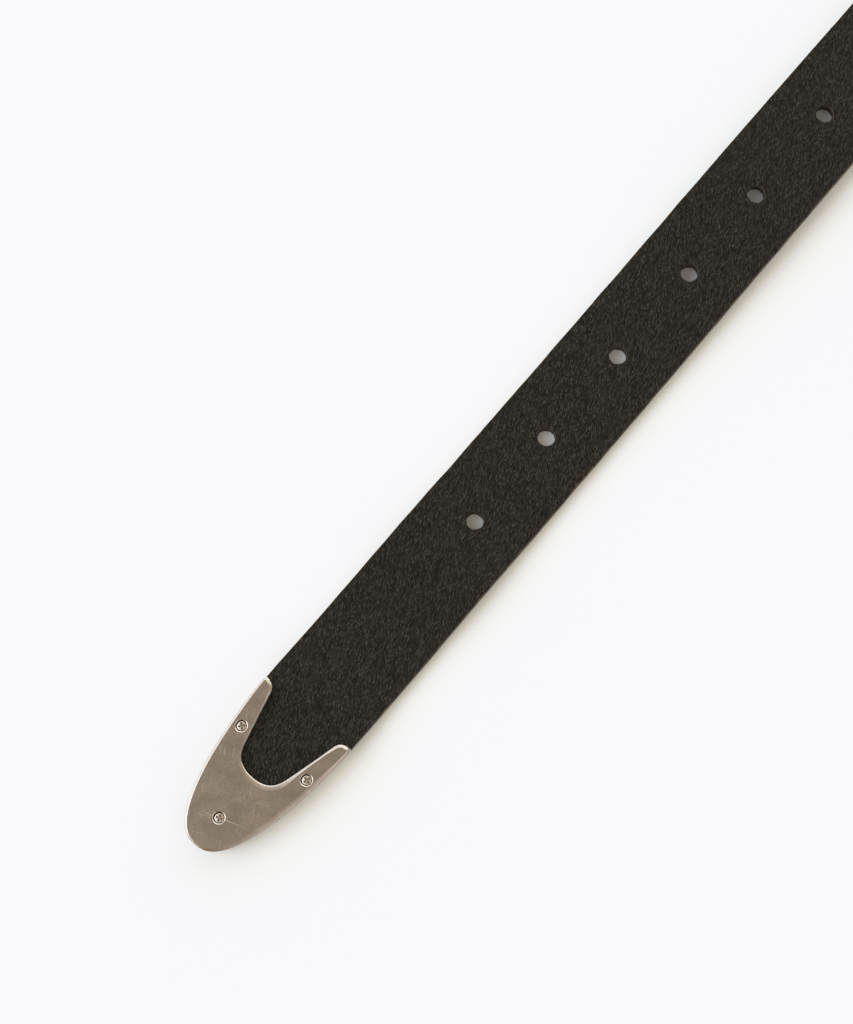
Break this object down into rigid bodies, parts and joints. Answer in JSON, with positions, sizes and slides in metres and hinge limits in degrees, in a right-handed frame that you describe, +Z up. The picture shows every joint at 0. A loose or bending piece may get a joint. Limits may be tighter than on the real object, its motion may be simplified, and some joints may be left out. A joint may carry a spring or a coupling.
{
  "type": "western belt",
  "caption": "Long flat leather belt with a rounded metal tip cap held by small screws, a row of punched holes, a leather keeper and a plain frame buckle.",
  "frame": {"origin": "centre of the bounding box in plan, at the table the belt lies on", "axes": "+X along the strap from the metal tip to the buckle, +Y across the strap, +Z up from the table; the belt lies back side up"},
  "size_m": [1.0858, 0.045, 0.0157],
  "materials": {
    "strap_leather": "black, brushed nap on the back, smooth grain on the front",
    "keeper_leather": "black, smooth grain",
    "satin_nickel": "warm satin nickel plating",
    "bright_nickel": "bright nickel plated screw"
  },
  "bodies": {
    "root": {"strap": "strap_leather", "tip": "satin_nickel", "tip_screw_nose": "bright_nickel", "tip_screw_left": "bright_nickel", "tip_screw_right": "bright_nickel", "keeper": "keeper_leather", "buckle": "satin_nickel"}
  },
  "joints": []
}
